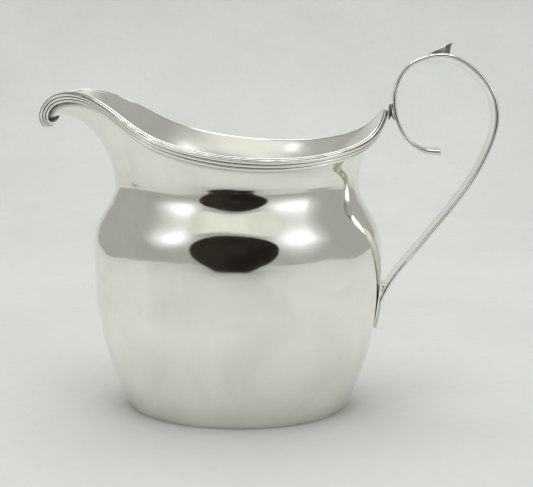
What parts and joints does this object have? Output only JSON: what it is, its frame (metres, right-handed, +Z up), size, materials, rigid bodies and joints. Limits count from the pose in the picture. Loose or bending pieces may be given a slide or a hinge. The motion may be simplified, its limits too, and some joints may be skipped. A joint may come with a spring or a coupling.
{
  "type": "cream jug",
  "caption": "Oval bellied silver cream jug with a waisted neck, a curled spout, a reeded rim wire and a looped strap handle with an inner scroll.",
  "frame": {"origin": "centre of the oval base's underside, on the surface that the jug stands on", "axes": "+Z up, +X towards the handle and -X towards the spout along the oval's long axis, +Y across the oval"},
  "size_m": [0.127, 0.0612, 0.1045],
  "materials": {
    "silver_sheet": "polished, softly worn by hand polishing",
    "silver_wire": "polished, darker in the grooves",
    "silver_handle": "polished, fine scratches",
    "silver_solder": "satin, tarnished"
  },
  "bodies": {
    "root": {"body": "silver_sheet", "base_plate": "silver_sheet", "base_seam_solder": "silver_solder", "rim_wire": "silver_wire", "handle_strap": "silver_handle", "handle_scroll": "silver_handle", "thumb_spur": "silver_handle", "rim_joint_solder": "silver_solder", "tail_joint_solder": "silver_solder"}
  },
  "joints": []
}
